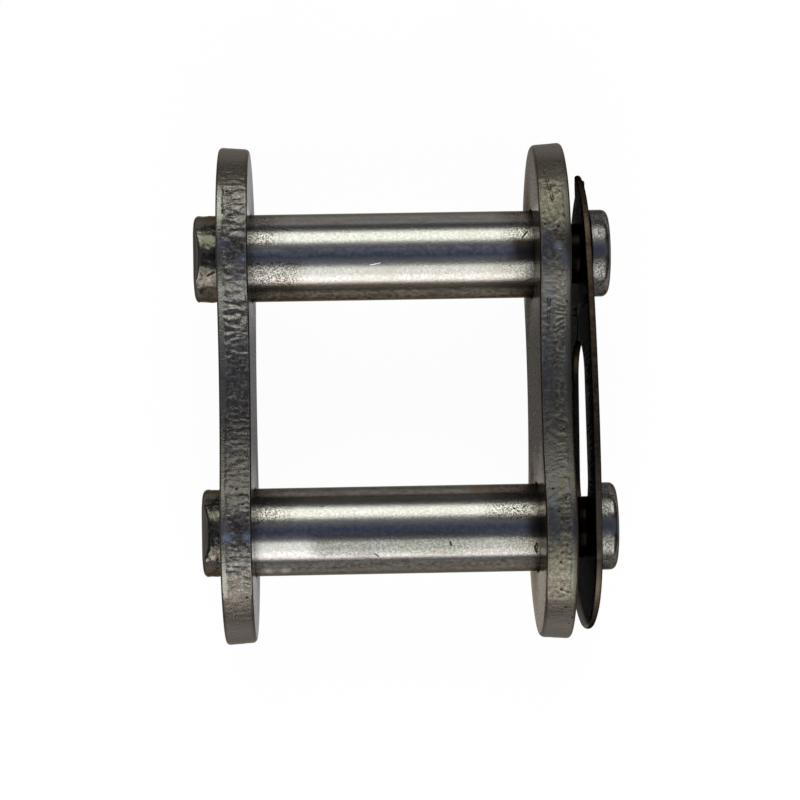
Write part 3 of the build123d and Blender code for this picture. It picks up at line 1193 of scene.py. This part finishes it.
right_edge = plate_edge_steel("connecting_plate_edge", 0.07, 0.6, 0.7, right_tones, right_strip, RIGHT_BLOTS)
left_greys = (tone(0.09, LILAC), tone(0.14, LILAC), tone(0.5, LILAC))
right_greys = (tone(0.06, BROWN), tone(0.10, BROWN), tone(0.5, BROWN))
left_face = plate_face_steel("fixed_plate_face", left_greys, 1, LEFT_FILM, tone(0.07, LILAC))
right_face = plate_face_steel("connecting_plate_face", right_greys, -1, RIGHT_FILM, tone(0.10, RUST))
pin_finish = pin_steel()
left_style = {
    "seed": 11.3,
    "burnish": 0.19,
    "scales": (
        [(22.5, 0.3), (18.5, 1.6), (15.5, 1.5), (13.5, 0.5), (10.0, 0.6), (8.5, 1.4)]
        + [(5.5, 1.2), (3.0, 0.4), (-10.0, 0.3), (-14.0, 0.45), (-16.5, 0.8), (-20.0, 0.3)]
    ),
    "ridges": [(10.0, 0.2), (-10.0, 0.4)],
    "inner_calm": 0.0,
    "top": 18.1,
    "foot": 18.0,
    "cracks": [],
}
right_style = {
    "seed": 47.9,
    "burnish": 0.2,
    "scales": [(12.0, 0.35), (9.0, 0.25), (0.0, 0.2), (-12.0, 0.3)],
    "ridges": [(10.5, 0.15), (8.0, 0.9), (1.0, 0.8), (-3.0, 0.35), (-13.0, 0.3), (-16.0, 0.5)],
    "inner_calm": 0.7,
    "top": 18.1,
    "foot": 18.9,
    "cracks": [((19.5, 2.05), (16.5, 1.55)), ((7.7, 2.0), (5.0, 2.1))],
}
left_steel = [left_face, left_edge]
right_steel = [right_face, right_edge]
loose_radius = PIN_RADIUS + SLIP_CLEARANCE
side_plate("fixed_plate", "pin_side", fixed_low.x, 1, PIN_RADIUS, left_style, left_steel)
side_plate("connecting_plate", "loose_plate", link_high.x, -1, loose_radius, right_style, right_steel)
pin("upper_pin", PIN_OFFSET, upper_low, upper_high, UPPER_STAKE_LENGTH, 3.1, pin_finish)
pin("lower_pin", -PIN_OFFSET, lower_low, lower_high, LOWER_STAKE_LENGTH, 8.7, pin_finish)
spring_clip(clip_steel())


# ---------------------------------------------------------------- studio

FLOOR_RADIUS = 18.0
FLOOR_WHITE_SHARE = 0.96
BOX_SPREAD = 0.77
AREA_LIGHT_FACTOR = 4


def add_floor():
    """Large white floor under the link, that keeps a faint shadow."""
    bm = bmesh.new()
    bmesh.ops.create_circle(bm, cap_ends=True, segments=96, radius=FLOOR_RADIUS)
    mesh = bpy.data.meshes.new("floor")
    bm.to_mesh(mesh)
    bm.free()
    floor = bpy.data.objects.new("floor", mesh)
    floor.location.z = cad_box[0][2]
    bpy.context.scene.collection.objects.link(floor)
    material = bpy.data.materials.new("floor")
    tree = cleared_tree(material)
    rays = node(tree, "ShaderNodeLightPath")
    seen = maths("MAXIMUM", Wire(rays, "Is Camera Ray"), Wire(rays, "Is Glossy Ray"))
    seen = maths("MAXIMUM", seen, Wire(rays, "Is Transmission Ray"))
    lit = node(tree, "ShaderNodeBsdfDiffuse", {"Color": tone(0.9)})
    white = node(tree, "ShaderNodeEmission", {"Color": tone(1.0), "Strength": 1.0})
    mixed = node(tree, "ShaderNodeMixShader", {0: seen * FLOOR_WHITE_SHARE, 1: Wire(lit), 2: Wire(white)})
    node(tree, "ShaderNodeOutputMaterial", {"Surface": Wire(mixed)})
    mesh.materials.append(material)


def soft_box(name, low_angle, high_angle, side, distance, radiance, colour):
    """Long soft box beside the link, between two angles from straight up, in degrees."""
    middle = math.radians((low_angle + high_angle) / 2) * side
    half = math.radians((high_angle - low_angle) / 2)
    length = distance * BOX_SPREAD
    height = 2 * distance * math.tan(half)
    data = bpy.data.lights.new(name, "AREA")
    data.shape = "RECTANGLE"
    data.size = length
    data.size_y = height
    data.color = colour
    data.energy = AREA_LIGHT_FACTOR * radiance * length * height
    lamp = bpy.data.objects.new(name, data)
    lamp.location = (0, distance * math.sin(middle), distance * math.cos(middle))
    lamp.rotation_euler = (-middle, 0, 0)
    lamp.visible_camera = False
    bpy.context.scene.collection.objects.link(lamp)


# Colour of the room by the angle from straight up, in degrees.
SKY = [
    (0, (0.10, 0.12, 0.18, 1)),
    (8, (0.20, 0.25, 0.38, 1)),
    (18, (0.44, 0.44, 0.50, 1)),
    (32, (0.50, 0.48, 0.47, 1)),
    (60, (0.22, 0.22, 0.22, 1)),
    (78, (0.13, 0.13, 0.13, 1)),
    (180, (0.13, 0.13, 0.13, 1)),
]


def add_world():
    """Dim room: grey round the horizon and bluish overhead."""
    world = bpy.data.worlds.new("studio")
    bpy.context.scene.world = world
    tree = cleared_tree(world)
    up = axes(Wire(node(tree, "ShaderNodeTexCoord"), "Generated"))[2]
    sky = ramp(maths("ARCCOSINE", up) / math.pi, [(angle / 180, colour) for angle, colour in SKY])
    background = node(tree, "ShaderNodeBackground", {"Color": sky, "Strength": 1.0})
    node(tree, "ShaderNodeOutputWorld", {"Surface": Wire(background)})


add_floor()
soft_box("upper_box", 34.8, 64.4, 1, 1.0, 4.2, (0.99, 1.0, 0.88))
soft_box("lower_box", 53, 75.4, -1, 0.3, 4.8, (1.0, 0.95, 0.89))
soft_box("lower_inner_box", 29, 52, -1, 0.3, 3.1, (0.98, 1.0, 0.91))
add_world()
bpy.context.scene.view_settings.view_transform = "Standard"
